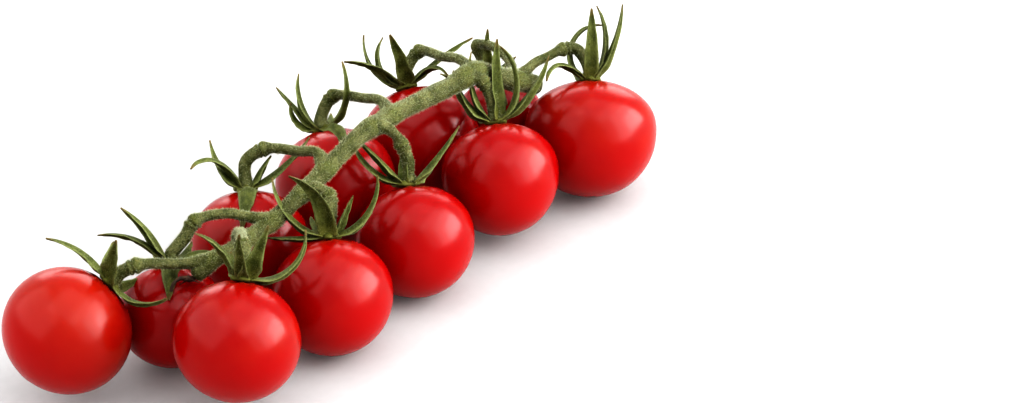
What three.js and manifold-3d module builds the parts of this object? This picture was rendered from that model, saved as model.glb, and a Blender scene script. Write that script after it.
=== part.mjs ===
// A truss of vine tomatoes, as picked: eleven ripe fruit on one green stem, lying on a flat surface.
// Millimetres, +Z up. +X runs along the truss from its withered tip to its cut end.
// The origin is on the surface, under the middle of the truss.

import * as THREE from 'three';
import { mergeVertices } from 'three/addons/utils/BufferGeometryUtils.js';
import Module from 'manifold-3d';

const wasm = await Module();
wasm.setup();

// ---- Driving dimensions -------------------------------------------------------------------------

const fruitWidth = 30; // an average fruit, across its shoulders
const fruitHeight = 28.8; // the same fruit, from blossom end to shoulders
const fruitClearance = 1; // what is left between two average fruit that stand side by side
const dimpleDepth = 0.6; // the hollow under the calyx
const dimpleWidth = 9;

const rachisWidth = 5.3; // the main stem at its cut end
const rachisTipWidth = 3.7; // and at its withered tip
const nodeSwelling = 0.16; // how much thicker the main stem is where a fruit stalk leaves it

const pedicelWidth = 2.5; // a fruit stalk between the main stem and its knuckle
const stalkWidth = 3.1; // the same stalk between its knuckle and the calyx
const knuckleWidth = 4;

const calyxWidth = 6; // the green plate that the sepals grow from
const calyxThickness = 1.2;
const sepalRoot = 1.5; // from a fruit's axis to where its sepals grow out of the plate
const sepalScale = 1; // all sepals longer or shorter
const sepalWidth = 2.8; // an average sepal at its widest
const sepalThickness = 1.3;

const budWidth = 1; // the dried flower stalk at the tip
const gap = 0.3; // left between pieces that meet

// The plan below is drawn for fruit that stand this far apart, and it grows with them.
const drawnPitch = 31;
const plan = (fruitWidth + fruitClearance) / drawnPitch;

// ---- Where everything lies ----------------------------------------------------------------------

// The main stem's middle line, from the withered tip to the cut end.
const rachisRoute = [
  [-48.5, -1.5, 26.5],
  [-46, -1.5, 27.5],
  [-42.5, -1, 28.5],
  [-36, -0.5, 28.5],
  [-29.5, 0, 29.5],
  [-23, 0.5, 30.5],
  [-17, 1, 32.5],
  [-8, 2.5, 35],
  [1.5, 4.5, 37.5],
  [11, 6, 40],
  [22.5, 8, 40],
  [36.5, 9, 40],
  [44, 9.5, 40],
  [52, 9.5, 41],
  [58.5, 9.5, 37.5],
  [65, 9.5, 34],
  [70, 9.5, 31.5],
  [74.5, 9.5, 28.5],
];

// One entry for each fruit, from the tip of the truss to its cut end.
// at: the fruit's middle, seen from above. rise: how high its stalk holds it off the surface.
// wide, tall: its width and height against an average fruit. lean: how far its stalk end leans from
// upright, and toward: the way it leans, from +X round to +Y, in degrees.
// leaves: where its stalk leaves the main stem, as a share of the stem's length from the tip.
// over, knuckle, under: the stalk's route, measured from where it meets the calyx plate.
// sepals: [around, length, width, lift, curl, swing]. around turns from the side that leans lowest,
// width is against an average sepal, lift is the angle off the plate at the root, curl is how much
// that angle grows towards the tip, and swing how far the sepal bends sideways, in degrees.
const sprigs = [
  {
    at: [-78, 9], rise: 4.5, wide: 1.03, tall: 1.02, lean: 54, toward: -8,
    leaves: 0.04, over: [[13.5, -5, 1], [8, -4, 3]], knuckle: [5, -2.5, 3], under: [[2, -0.5, 1.5]],
    sepals: [
      [140, 17.5, 1, 20, -55, 0],
      [200, 13.5, 1.2, 55, -30, 5],
      [290, 16, 0.8, -10, 70, -15],
      [30, 12, 1, 15, 20, 0],
      [80, 13, 1, 25, 20, 0],
    ],
  },
  {
    at: [-51.5, -21.5], rise: 5, wide: 1, tall: 1, lean: 36, toward: 38,
    leaves: 0.13, over: [[10.5, 15.5, -0.5], [7.5, 10.5, 2.5]], knuckle: [3.5, 4.5, 4.5], under: [[2, 2, 3.5]],
    sepals: [
      [120, 16.5, 1, 70, -70, 30],
      [215, 15, 1.2, 60, -10, 10],
      [185, 14, 0.8, 40, 5, 0],
      [285, 20, 1, -5, 105, 0],
      [110, 7, 0.8, 70, -25, 0],
      [30, 13, 1, 25, 10, 0],
    ],
  },
  {
    at: [-50.5, 6], rise: 0, wide: 0.87, tall: 0.88, lean: 35, toward: 49,
    leaves: 0.2, over: [[15, -4.5, 8.5], [11.5, -2, 8.5]], knuckle: [7.5, 0, 7.5], under: [[4.5, 0, 4.5]],
    sepals: [
      [115, 17.5, 1.2, 70, -40, -5],
      [100, 18.5, 0.8, 55, -65, 0],
      [185, 17, 1.2, 0, -75, -5],
      [275, 10, 0.9, 45, -65, 0],
      [30, 12, 1, 20, 10, 0],
      [340, 11, 0.9, 25, 10, 0],
    ],
  },
  {
    at: [-18.5, -16], rise: 0, wide: 0.99, tall: 1, lean: 36, toward: 53,
    leaves: 0.29, over: [[3.5, 8, 7.5]], knuckle: [4, 4.5, 7], under: [[2, 1.5, 4.5]],
    sepals: [
      [95, 20, 1, 20, 65, -5],
      [175, 21, 1.2, 75, -60, -60],
      [265, 19.5, 1, 15, 75, 0],
      [245, 11, 0.8, 65, -10, 0],
      [90, 14, 0.8, 0, 5, 0],
      [20, 12, 1, 25, 10, 0],
    ],
  },
  {
    at: [-19, 16], rise: 0, wide: 1, tall: 1, lean: 32, toward: 55,
    leaves: 0.36, over: [[11.5, -15, 11], [10, -10, 10]], knuckle: [6.5, 0.5, 7.5], under: [[2, 2, 5]],
    sepals: [
      [90, 14.5, 1.2, 45, 35, 0],
      [115, 21, 0.8, 75, -115, 35],
      [270, 19.5, 1, 25, 25, 0],
      [185, 19.5, 1.2, 0, -70, -30],
      [265, 9.5, 0.9, 65, -20, 0],
      [15, 12, 1, 20, 10, 0],
    ],
  },
  {
    at: [14.5, 22.5], rise: 0.5, wide: 1.06, tall: 1.05, lean: 38, toward: 70,
    leaves: 0.56, over: [[5.5, -18, 12.5], [6, -10, 10]], knuckle: [5, 1, 6.5], under: [[2.5, 1.5, 4]],
    sepals: [
      [60, 16, 1, 60, 0, 0],
      [95, 16, 1.2, 60, 50, -10],
      [70, 11, 0.9, 15, 90, 0],
      [220, 20, 0.8, 15, 75, -35],
      [195, 19, 1, -10, -35, -40],
      [330, 12, 1, 20, 10, 0],
    ],
  },
  {
    at: [13, -10.5], rise: 0, wide: 1, tall: 1, lean: 36, toward: 59,
    leaves: 0.5, over: [[-1.5, 7.5, 13], [0.5, 5.5, 11]], knuckle: [1.5, 4, 8], under: [[1.5, 1.5, 4]],
    sepals: [
      [95, 18.5, 1, 55, -10, 0],
      [85, 19, 1, 20, 60, 0],
      [260, 18.5, 1.1, 40, 10, 0],
      [140, 9.5, 0.8, 95, 10, 0],
      [20, 12, 1, 25, 10, 0],
      [320, 12, 0.9, 20, 10, 0],
    ],
  },
  {
    at: [46.5, 25.5], rise: 0, wide: 1.06, tall: 1.06, lean: 38, toward: 72,
    leaves: 0.8, over: [[3.5, -18, 13], [4.5, -10.5, 10.5]], knuckle: [5.5, 0.5, 7.5], under: [[2.5, 1.5, 4]],
    sepals: [
      [170, 16.5, 1.1, 50, 5, -30],
      [115, 18.5, 1, 55, -45, -30],
      [75, 19, 0.8, 30, 80, -5],
      [85, 16.5, 0.9, 35, 100, -5],
      [245, 21, 0.9, 35, -25, 0],
      [225, 16.5, 0.8, 45, -100, -40],
      [340, 12, 1, 20, 10, 0],
    ],
  },
  {
    at: [46.5, -6], rise: 2.5, wide: 1.02, tall: 1.03, lean: 36, toward: 56,
    leaves: 0.77, over: [[-1, 6, 10]], knuckle: [0.5, 5, 8.5], under: [[1, 3, 5.5]],
    sepals: [
      [90, 17, 1.2, 35, 50, 0],
      [100, 19.5, 0.9, 55, 50, -5],
      [220, 21.5, 1, 95, -20, 0],
      [250, 21.5, 1.1, 40, 90, 15],
      [255, 21.5, 1, 30, 35, -10],
      [20, 12, 1, 20, 10, 0],
    ],
  },
  {
    at: [80, -5.5], rise: 0, wide: 1.18, tall: 1.1, lean: 36, toward: 48,
    leaves: 0.93, over: [[-13, 8, 5.5], [-9, 7.5, 6]], knuckle: [-3.5, 7, 6.5], under: [[0, 5, 6]],
    sepals: [
      [185, 19, 1, 65, 15, -5],
      [245, 20.5, 1, 60, 55, 10],
      [255, 21.5, 1, 55, 25, -20],
      [85, 21, 1.1, 35, 150, 5],
      [110, 19, 0.8, 50, -115, 55],
      [20, 12, 1, 20, 10, 0],
    ],
  },
  {
    at: [74.5, 24.5], rise: 0, wide: 0.82, tall: 0.83, lean: 39, toward: 74,
    leaves: 0.92, over: [[-4, -13.5, 11], [-1.5, -4, 11]], knuckle: [0, 3.5, 7.5], under: [[0.5, 2.5, 4]],
    sepals: [
      [170, 15, 0.9, 60, -20, 15],
      [165, 20, 1, -5, -60, 5],
      [125, 15, 0.8, 40, -60, 35],
      [240, 8.5, 0.9, 30, -15, 0],
      [60, 12, 1, 20, 10, 0],
      [330, 12, 1, 20, 10, 0],
    ],
  },
];

// The withered flower stalk, measured from the main stem's tip.
const budRoute = [[-0.5, 0, -0.2], [-2.5, 0, 0.8], [-4.5, -0.2, 1.6], [-6.2, -0.4, 1], [-7.2, -0.6, -0.6]];

// ---- Materials ----------------------------------------------------------------------------------

const paint = (color, roughness) => new THREE.MeshStandardMaterial({ color, roughness, metalness: 0 });
const fruitSkin = paint('#c0130d', 0.22);
const stemGreen = paint('#7f8a55', 0.7);
const sepalGreen = paint('#4f6136', 0.65);
const driedBrown = paint('#8a6a45', 0.85);

// ---- Solids -------------------------------------------------------------------------------------

const degrees = Math.PI / 180;
const point = (route) => new THREE.Vector3(...route);

// A closed geometry as a solid that can be cut and joined.
function solidOf(geometry) {
  const bare = geometry.clone();
  bare.deleteAttribute('normal');
  bare.deleteAttribute('uv');
  const merged = mergeVertices(bare, 1e-4);
  const vertProperties = new Float32Array(merged.attributes.position.array);
  const triVerts = new Uint32Array(merged.index.array);
  return new wasm.Manifold(new wasm.Mesh({ numProp: 3, vertProperties, triVerts }));
}

// A solid as a geometry again.
function geometryOf(solid) {
  const { vertProperties, triVerts } = solid.getMesh();
  const geometry = new THREE.BufferGeometry();
  geometry.setAttribute('position', new THREE.BufferAttribute(new Float32Array(vertProperties), 3));
  geometry.setIndex(new THREE.BufferAttribute(new Uint32Array(triVerts), 1));
  geometry.computeVertexNormals();
  return geometry;
}

// What is left of a piece beside its neighbours: its largest body, where they cut it through.
function clearOf(solid, neighbours) {
  const rest = neighbours.reduce((left, neighbour) => left.subtract(neighbour), solid);
  const bodies = rest.decompose();
  return bodies.reduce((largest, body) => (body.volume() > largest.volume() ? body : largest));
}

// A curve whose sections are turned by hand: sideAt gives the way that a section's width runs.
class Blade extends THREE.CatmullRomCurve3 {
  constructor(points, sideAt) {
    super(points);
    this.sideAt = sideAt;
  }

  computeFrenetFrames(steps) {
    const frames = { tangents: [], normals: [], binormals: [] };
    for (let step = 0; step <= steps; step++) {
      const tangent = this.getTangentAt(step / steps);
      const side = this.sideAt(step / steps);
      side.addScaledVector(tangent, -side.dot(tangent)).normalize();
      frames.tangents.push(tangent);
      frames.binormals.push(side);
      frames.normals.push(new THREE.Vector3().crossVectors(side, tangent));
    }
    return frames;
  }
}

// A bar along a curve, with a section of so many sides whose half width and half thickness change
// along its length. A thin core is extruded, and each ring is then let out to its own size.
function bar(curve, steps, sides, halfWidthAt, halfThicknessAt) {
  const core = 0.05;
  const corners = [];
  for (let side = 0; side < sides; side++) {
    const turn = (2 * Math.PI * side) / sides;
    corners.push(new THREE.Vector2(core * Math.cos(turn), core * Math.sin(turn)));
  }
  const outline = new THREE.Shape(corners);
  const geometry = new THREE.ExtrudeGeometry(outline, { steps, extrudePath: curve });
  const middles = curve.getSpacedPoints(steps);
  const frames = curve.computeFrenetFrames(steps, false);
  const corner = new THREE.Vector3();
  const places = geometry.attributes.position;
  for (let index = 0; index < places.count; index++) {
    corner.fromBufferAttribute(places, index);
    let ring = 0;
    for (let step = 1; step <= steps; step++) {
      if (corner.distanceTo(middles[step]) < corner.distanceTo(middles[ring])) ring = step;
    }
    corner.sub(middles[ring]);
    const thick = (corner.dot(frames.normals[ring]) / core) * halfThicknessAt(ring / steps);
    const wide = (corner.dot(frames.binormals[ring]) / core) * halfWidthAt(ring / steps);
    corner.copy(middles[ring]);
    corner.addScaledVector(frames.normals[ring], thick);
    corner.addScaledVector(frames.binormals[ring], wide);
    places.setXYZ(index, corner.x, corner.y, corner.z);
  }
  return solidOf(geometry);
}

// A smooth bump of height 1 and the given half width, around middle.
const bump = (at, middle, halfWidth) => Math.exp(-(((at - middle) / halfWidth) ** 2));

// ---- The fruit ----------------------------------------------------------------------------------

// The height of a fruit's upper side above its middle, at a distance from its axis.
function shoulderHeight({ wide, tall }, outward) {
  const halfWidth = (wide * fruitWidth) / 2;
  const dome = Math.sqrt(Math.max(0, 1 - (outward / halfWidth) ** 2));
  const dimple = dimpleDepth * Math.exp(-((outward / (dimpleWidth / 2)) ** 2));
  return ((tall * fruitHeight) / 2) * dome - dimple;
}

// A fruit around its own axis, its calyx end up. extra lets its skin out on all sides.
function fruitGeometry(sprig, extra = 0) {
  const bands = 10;
  const halfWidth = (sprig.wide * fruitWidth) / 2;
  const halfHeight = (sprig.tall * fruitHeight) / 2;
  const profile = [];
  for (let band = 0; band <= bands; band++) {
    const turn = (Math.PI * band) / bands;
    const outward = band === 0 || band === bands ? 0 : halfWidth * Math.sin(turn);
    const height = turn < Math.PI / 2 ? -halfHeight * Math.cos(turn) : shoulderHeight(sprig, outward);
    const grow = 1 + extra / halfWidth;
    profile.push(new THREE.Vector2(outward * grow, height * grow));
  }
  return new THREE.LatheGeometry(profile, 18).rotateX(Math.PI / 2);
}

// How high a leaning fruit's middle is above the surface that it touches.
function standingHeight(sprig) {
  const across = ((sprig.wide * fruitWidth) / 2) * Math.sin(sprig.lean * degrees);
  const along = ((sprig.tall * fruitHeight) / 2) * Math.cos(sprig.lean * degrees);
  return Math.hypot(across, along);
}

// The frame of a fruit and its calyx: Z along its axis, X down the way that it leans.
function frameOf(sprig) {
  const frame = new THREE.Object3D();
  const [x, y] = sprig.at;
  frame.position.set(x * plan, y * plan, standingHeight(sprig) + sprig.rise * plan);
  frame.rotation.set(0, sprig.lean * degrees, sprig.toward * degrees, 'ZYX');
  frame.updateMatrix();
  return frame;
}

// The underside of the calyx plate, above the fruit's middle.
const seatHeight = (sprig) => {
  const rim = shoulderHeight(sprig, calyxWidth / 2);
  return Math.max(rim, shoulderHeight(sprig, 0)) + gap;
};

// ---- The main stem ------------------------------------------------------------------------------

const rachisCurve = new THREE.CatmullRomCurve3(rachisRoute.map((place) => point(place).multiplyScalar(plan)));

function rachisSolid(extra = 0) {
  const nodeReach = 0.022; // half the length of a node, as a share of the stem's length
  const halfWidthAt = (at) => {
    const plain = THREE.MathUtils.lerp(rachisTipWidth, rachisWidth, at) / 2;
    const swelling = sprigs.reduce((most, sprig) => Math.max(most, bump(at, sprig.leaves, nodeReach)), 0);
    return plain * (1 + nodeSwelling * swelling) + extra;
  };
  return bar(rachisCurve, 44, 10, halfWidthAt, halfWidthAt);
}

// ---- A fruit stalk ------------------------------------------------------------------------------

function pedicelSolid(sprig, frame, extra = 0) {
  const axis = new THREE.Vector3(0, 0, 1).applyEuler(frame.rotation);
  const end = seatHeight(sprig) + calyxThickness + gap;
  const plate = frame.position.clone().addScaledVector(axis, end);
  const lastStretch = 1.2; // it meets the plate square, over this length
  const route = [
    rachisCurve.getPointAt(sprig.leaves),
    ...sprig.over.map((place) => point(place).add(plate)),
    point(sprig.knuckle).add(plate),
    ...sprig.under.map((place) => point(place).add(plate)),
    plate.clone().addScaledVector(axis, lastStretch),
    plate.clone().addScaledVector(axis, -extra / 2),
  ];
  const curve = new THREE.CatmullRomCurve3(route, false, 'centripetal');

  // Where the knuckle is along the stalk, by length.
  const knuckle = point(sprig.knuckle).add(plate);
  const marks = curve.getSpacedPoints(100);
  const nearest = marks.reduce((best, mark) => (mark.distanceTo(knuckle) < best.distanceTo(knuckle) ? mark : best));
  const bend = marks.indexOf(nearest) / 100;

  // It swells at the knuckle, is stouter past it, and flares a little at both ends.
  const halfWidthAt = (at) => {
    const past = THREE.MathUtils.smoothstep(at, bend - 0.05, bend + 0.05);
    const plain = THREE.MathUtils.lerp(pedicelWidth, stalkWidth, past);
    const swelling = (knuckleWidth - plain) * bump(at, bend, 0.06);
    const flare = 0.3 * plain * (bump(at, 0, 0.12) + bump(at, 1, 0.08));
    return (plain + swelling + flare) / 2 + extra;
  };
  const stepLength = 1.9;
  const steps = Math.max(10, Math.round(curve.getLength() / stepLength));
  return bar(curve, steps, 8, halfWidthAt, halfWidthAt);
}

// ---- A calyx ------------------------------------------------------------------------------------

// One sepal, in the frame of its fruit. It grows out of the plate and stays off the fruit's skin.
function sepalSolid(sprig, [around, length, width, lift, curl, swing], extra = 0) {
  const joints = 8;
  const stride = (length * sepalScale) / joints;
  const skin = 2 * gap + sepalThickness / 2;
  const clearWidth = (sprig.wide * fruitWidth) / 2 + skin;
  const clearHeight = (sprig.tall * fruitHeight) / 2 + skin;
  const place = new THREE.Vector3(0, 0, seatHeight(sprig) + calyxThickness / 2);
  place.x = sepalRoot * Math.cos(around * degrees);
  place.y = sepalRoot * Math.sin(around * degrees);
  const points = [place.clone()];
  for (let joint = 0; joint < joints; joint++) {
    const along = (joint + 0.5) / joints;
    const turn = (around + swing * along) * degrees;
    const rise = (lift + curl * along) * degrees;
    place.x += stride * Math.cos(rise) * Math.cos(turn);
    place.y += stride * Math.cos(rise) * Math.sin(turn);
    place.z += stride * Math.sin(rise);
    const depth = Math.hypot(place.x / clearWidth, place.y / clearWidth, place.z / clearHeight);
    points.push(depth < 1 && joint > 0 ? place.clone().divideScalar(depth) : place.clone());
  }
  const sideAt = (at) => {
    const turn = (around + swing * at) * degrees;
    return new THREE.Vector3(-Math.sin(turn), Math.cos(turn), 0);
  };

  // Widest a quarter of the way out, drawn out to a thin tip.
  const taper = (at) => (0.7 + 0.3 * bump(at, 0.3, 0.25)) * (1 - at ** 3) + 0.1;
  const halfWidthAt = (at) => (width * sepalWidth * taper(at)) / 2 + extra;
  const halfThicknessAt = (at) => (sepalThickness * (1 - 0.5 * at)) / 2 + extra;
  return bar(new Blade(points, sideAt), joints - 1, 4, halfWidthAt, halfThicknessAt);
}

function calyxSolid(sprig, extra = 0) {
  const seat = seatHeight(sprig);
  const outer = calyxWidth / 2 + extra;
  const upper = 0.7 * outer;
  const profile = [
    new THREE.Vector2(0, seat - extra),
    new THREE.Vector2(outer, seat - extra),
    new THREE.Vector2(outer, seat + calyxThickness / 2),
    new THREE.Vector2(upper, seat + calyxThickness + extra),
    new THREE.Vector2(0, seat + calyxThickness + extra),
  ];
  const plate = solidOf(new THREE.LatheGeometry(profile, 12).rotateX(Math.PI / 2));
  return sprig.sepals.reduce((whole, sepal) => whole.add(sepalSolid(sprig, sepal, extra)), plate);
}

// ---- The whole truss ----------------------------------------------------------------------------

const truss = new THREE.Group();

function addPiece(name, geometry, material, frame) {
  const mesh = new THREE.Mesh(geometry, material);
  mesh.name = name;
  if (frame) {
    mesh.position.copy(frame.position);
    mesh.rotation.copy(frame.rotation);
  }
  truss.add(mesh);
}

const numberOf = (index) => String(index + 1).padStart(2, '0');
const frames = sprigs.map(frameOf);

// Everything already in place, let out by the gap, that the next piece is kept clear of.
const taken = [];

sprigs.forEach((sprig, index) => {
  addPiece(`tomato_${numberOf(index)}`, fruitGeometry(sprig), fruitSkin, frames[index]);
  taken.push(solidOf(fruitGeometry(sprig, gap)).transform(frames[index].matrix.elements));
});

addPiece('rachis', geometryOf(clearOf(rachisSolid(), taken)), stemGreen);
taken.push(rachisSolid(gap));

sprigs.forEach((sprig, index) => {
  const pedicel = clearOf(pedicelSolid(sprig, frames[index]), taken);
  addPiece(`pedicel_${numberOf(index)}`, geometryOf(pedicel), stemGreen);
  taken.push(pedicelSolid(sprig, frames[index], gap));
});

// A calyx is cut in its own frame, so that its plate stays square to its fruit.
sprigs.forEach((sprig, index) => {
  const toFruit = frames[index].matrix.clone().invert().elements;
  const near = taken.filter((solid, order) => order !== index).map((solid) => solid.transform(toFruit));
  addPiece(`calyx_${numberOf(index)}`, geometryOf(clearOf(calyxSolid(sprig), near)), sepalGreen, frames[index]);
  taken.push(calyxSolid(sprig, gap).transform(frames[index].matrix.elements));
});

// The dried stalk is thickest where its flower has shrivelled.
const tip = rachisCurve.getPointAt(0);
const budCurve = new THREE.CatmullRomCurve3(budRoute.map((place) => point(place).add(tip)));
const budHalfWidth = (at) => (budWidth / 2) * (1 + 0.8 * bump(at, 0.2, 0.12));
const bud = bar(budCurve, 9, 6, budHalfWidth, budHalfWidth);
addPiece('withered_bud', geometryOf(clearOf(bud, taken)), driedBrown);

// The origin is moved to the surface, under the middle of everything.
truss.updateMatrixWorld(true);
const box = new THREE.Box3();
truss.traverse((piece) => {
  if (piece.isMesh) box.expandByObject(piece, true);
});
const middle = box.getCenter(new THREE.Vector3());
truss.position.set(-middle.x, -middle.y, -box.min.z);

export default truss;
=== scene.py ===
"""A truss of vine tomatoes, in its CAD frame. Lengths are millimetres until a mesh is made."""

import math

import bpy
import numpy as np
from mathutils import Euler, Matrix, Vector


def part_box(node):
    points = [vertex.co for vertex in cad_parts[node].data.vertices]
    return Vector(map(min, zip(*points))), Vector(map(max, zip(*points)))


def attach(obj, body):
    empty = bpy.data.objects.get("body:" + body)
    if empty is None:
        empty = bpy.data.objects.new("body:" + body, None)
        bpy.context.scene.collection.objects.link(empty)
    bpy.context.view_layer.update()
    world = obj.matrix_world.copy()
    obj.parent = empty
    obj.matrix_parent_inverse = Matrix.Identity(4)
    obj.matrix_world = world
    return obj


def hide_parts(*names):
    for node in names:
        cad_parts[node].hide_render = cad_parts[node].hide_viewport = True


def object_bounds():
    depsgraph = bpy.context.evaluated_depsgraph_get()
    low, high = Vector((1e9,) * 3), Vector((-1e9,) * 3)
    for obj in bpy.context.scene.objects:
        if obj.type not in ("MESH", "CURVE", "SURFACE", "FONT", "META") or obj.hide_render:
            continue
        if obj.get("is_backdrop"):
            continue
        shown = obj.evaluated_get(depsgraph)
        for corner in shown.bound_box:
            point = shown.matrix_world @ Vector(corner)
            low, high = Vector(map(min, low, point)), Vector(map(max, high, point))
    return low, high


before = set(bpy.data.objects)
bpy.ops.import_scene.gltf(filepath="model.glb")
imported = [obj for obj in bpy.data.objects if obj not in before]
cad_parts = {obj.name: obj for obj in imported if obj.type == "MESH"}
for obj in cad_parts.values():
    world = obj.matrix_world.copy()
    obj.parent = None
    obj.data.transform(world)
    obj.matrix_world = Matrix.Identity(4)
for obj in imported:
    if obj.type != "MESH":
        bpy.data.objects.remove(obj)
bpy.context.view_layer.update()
MM = 0.001

FRUIT_SEED = 100
STALK_SEED = 300
CALYX_SEED = 500
STEM_SEED = 7
BUD_SEED = 9

# ---- Driving dimensions, as in the CAD ------------------------------------------------------------

FRUIT_WIDTH = 30
FRUIT_HEIGHT = 28.8
FRUIT_CLEARANCE = 1
DIMPLE_DEPTH = 0.6
DIMPLE_WIDTH = 9
RACHIS_WIDTH = 5.3
RACHIS_TIP_WIDTH = 3.7
NODE_SWELLING = 0.16
PEDICEL_WIDTH = 2.5
STALK_WIDTH = 3.1
KNUCKLE_WIDTH = 4
CALYX_WIDTH = 6
CALYX_THICKNESS = 1.2
SEPAL_ROOT = 1.5
SEPAL_WIDTH = 2.8
SEPAL_THICKNESS = 1.3
BUD_WIDTH = 1
GAP = 0.3

# The layout is drawn for fruit that stand this far apart, and it grows with them.
DRAWN_PITCH = 31
PLAN = (FRUIT_WIDTH + FRUIT_CLEARANCE) / DRAWN_PITCH

# The main stem's middle line, from the withered tip to the cut end.
RACHIS_ROUTE = [
    [-48.5, -1.5, 26.5], [-46, -1.5, 27.5], [-42.5, -1, 28.5], [-36, -0.5, 28.5], [-29.5, 0, 29.5],
    [-23, 0.5, 30.5], [-17, 1, 32.5], [-8, 2.5, 35], [1.5, 4.5, 37.5], [11, 6, 40], [22.5, 8, 40],
    [36.5, 9, 40], [44, 9.5, 40], [52, 9.5, 41], [58.5, 9.5, 37.5], [65, 9.5, 34], [70, 9.5, 31.5],
    [74.5, 9.5, 28.5],
]

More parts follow.
